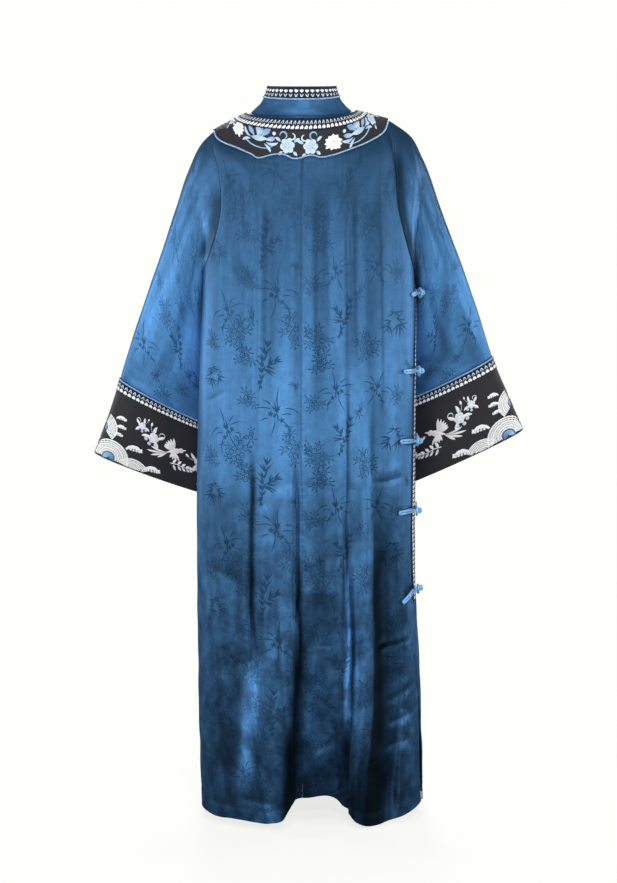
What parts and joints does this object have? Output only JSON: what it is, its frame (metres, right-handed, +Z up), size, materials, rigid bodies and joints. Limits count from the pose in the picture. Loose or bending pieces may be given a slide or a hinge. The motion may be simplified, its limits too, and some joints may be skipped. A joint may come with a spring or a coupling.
{
  "type": "cheongsam dress",
  "caption": "Floor-length satin robe dress with a stand collar, wide sleeves, an embroidered yoke and cuffs, and frog closures down its right side, worn and filled out.",
  "frame": {"origin": "middle of the base of the neck, 9 mm below the neck seam, where the wearer's neck and shoulders carry the dress", "axes": "+Z up, the front faces +Y and the back -Y, +X is the wearer's right, the side that closes"},
  "size_m": [0.802, 0.2855, 1.3693],
  "materials": {
    "satin": "glossy satin jacquard",
    "black_satin": "embroidered black satin",
    "ribbon": "woven ribbon",
    "piping": "satin cord",
    "frog": "satin cord"
  },
  "bodies": {
    "root": {"back_left": "satin", "back_right": "satin", "chest_frog_ball": "frog", "chest_frog_loop": "frog", "collar": "satin", "collar_piping": "piping", "collar_ribbon": "ribbon", "cuff_left": "black_satin", "cuff_piping_left": "piping", "cuff_piping_right": "piping", "cuff_ribbon_left": "ribbon", "cuff_ribbon_right": "ribbon", "cuff_right": "black_satin", "front_main": "satin", "front_side": "satin", "lapel_ribbon": "ribbon", "neck_frog_ball": "frog", "neck_frog_loop": "frog", "side_frog_1_ball": "frog", "side_frog_1_loop": "frog", "side_frog_2_ball": "frog", "side_frog_2_loop": "frog", "side_frog_3_ball": "frog", "side_frog_3_loop": "frog", "side_frog_4_ball": "frog", "side_frog_4_loop": "frog", "side_frog_5_ball": "frog", "side_frog_5_loop": "frog", "sleeve_left": "satin", "sleeve_right": "satin", "yoke": "black_satin", "yoke_piping": "piping", "yoke_ribbon": "ribbon"}
  },
  "joints": []
}
